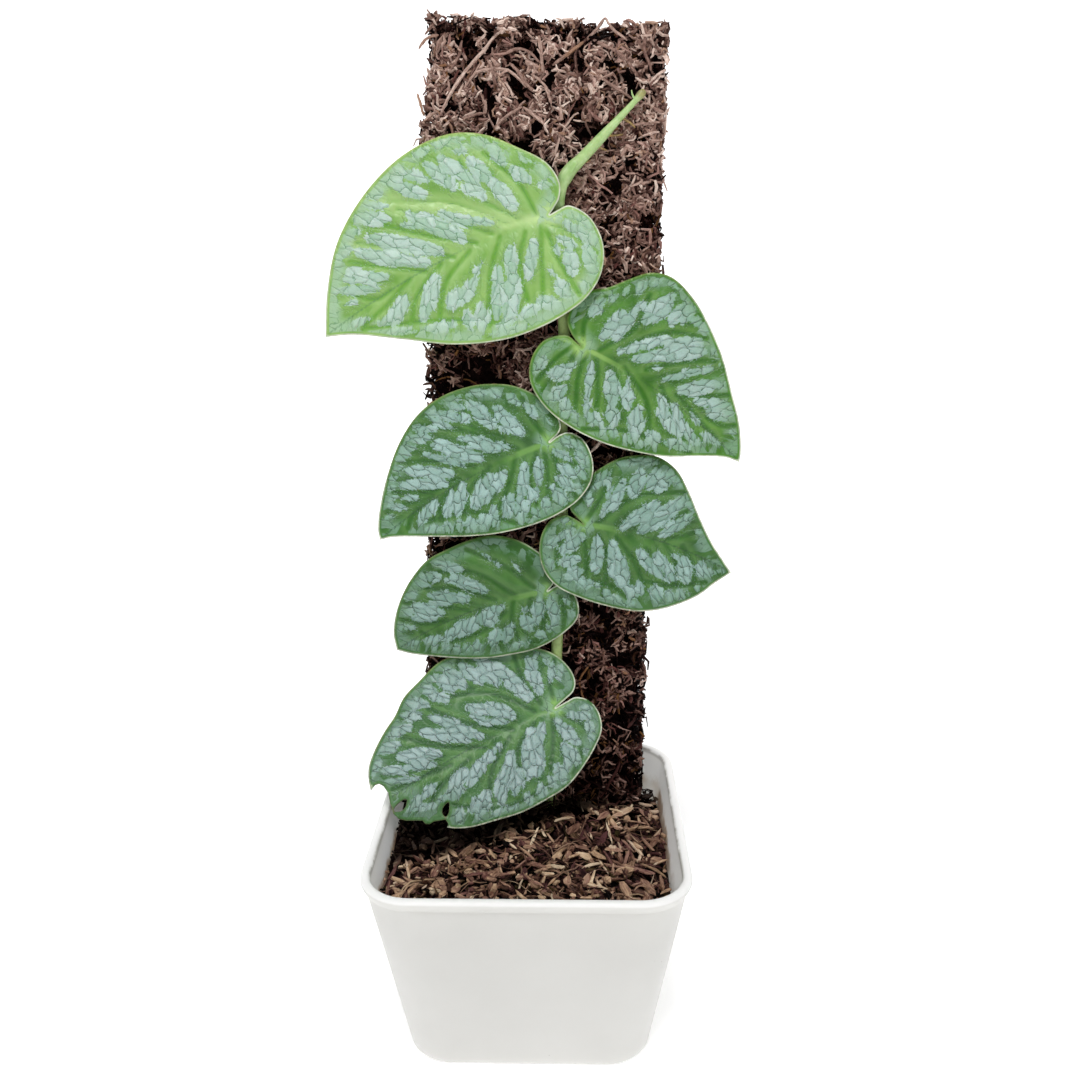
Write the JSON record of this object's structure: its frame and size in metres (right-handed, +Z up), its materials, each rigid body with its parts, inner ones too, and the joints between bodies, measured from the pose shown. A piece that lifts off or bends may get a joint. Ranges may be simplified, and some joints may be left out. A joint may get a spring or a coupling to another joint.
{
  "type": "potted monstera dubia",
  "caption": "Shingle plant with silver-patterned heart leaves climbing an upright tree fern board that stands in a square white pot of bark mix.",
  "frame": {"origin": "centre of the pot's flat bottom, on the surface that it stands on", "axes": "+Z up, -Y towards the front that the leaves face, +X to the right as seen from the front"},
  "size_m": [0.1335, 0.1166, 0.3156],
  "materials": {
    "pot_plastic": "matt white moulded plastic with a brighter rounded rim",
    "bark_mix": "damp brown bark and husk chips, a few of them tan",
    "fern_fibre": "matted dark brown tree fern rootlets",
    "vine_skin": "smooth pale green stem",
    "leaf_young": "satin yellow-green leaf with pale silver panels",
    "leaf_fresh": "satin mid-green leaf with silver panels and dark net veins",
    "leaf_green": "satin green leaf with silver panels and dark net veins",
    "leaf_old": "satin blue-green leaf with silver panels, dark net veins and insect bites"
  },
  "bodies": {
    "root": {"pot": "pot_plastic", "potting_mix": "bark_mix", "fern_board": "fern_fibre", "vine": "vine_skin", "leaf_1_newest": "leaf_young", "leaf_2": "leaf_fresh", "leaf_3": "leaf_green", "leaf_4": "leaf_green", "leaf_5": "leaf_green", "leaf_6_oldest": "leaf_old"}
  },
  "joints": []
}
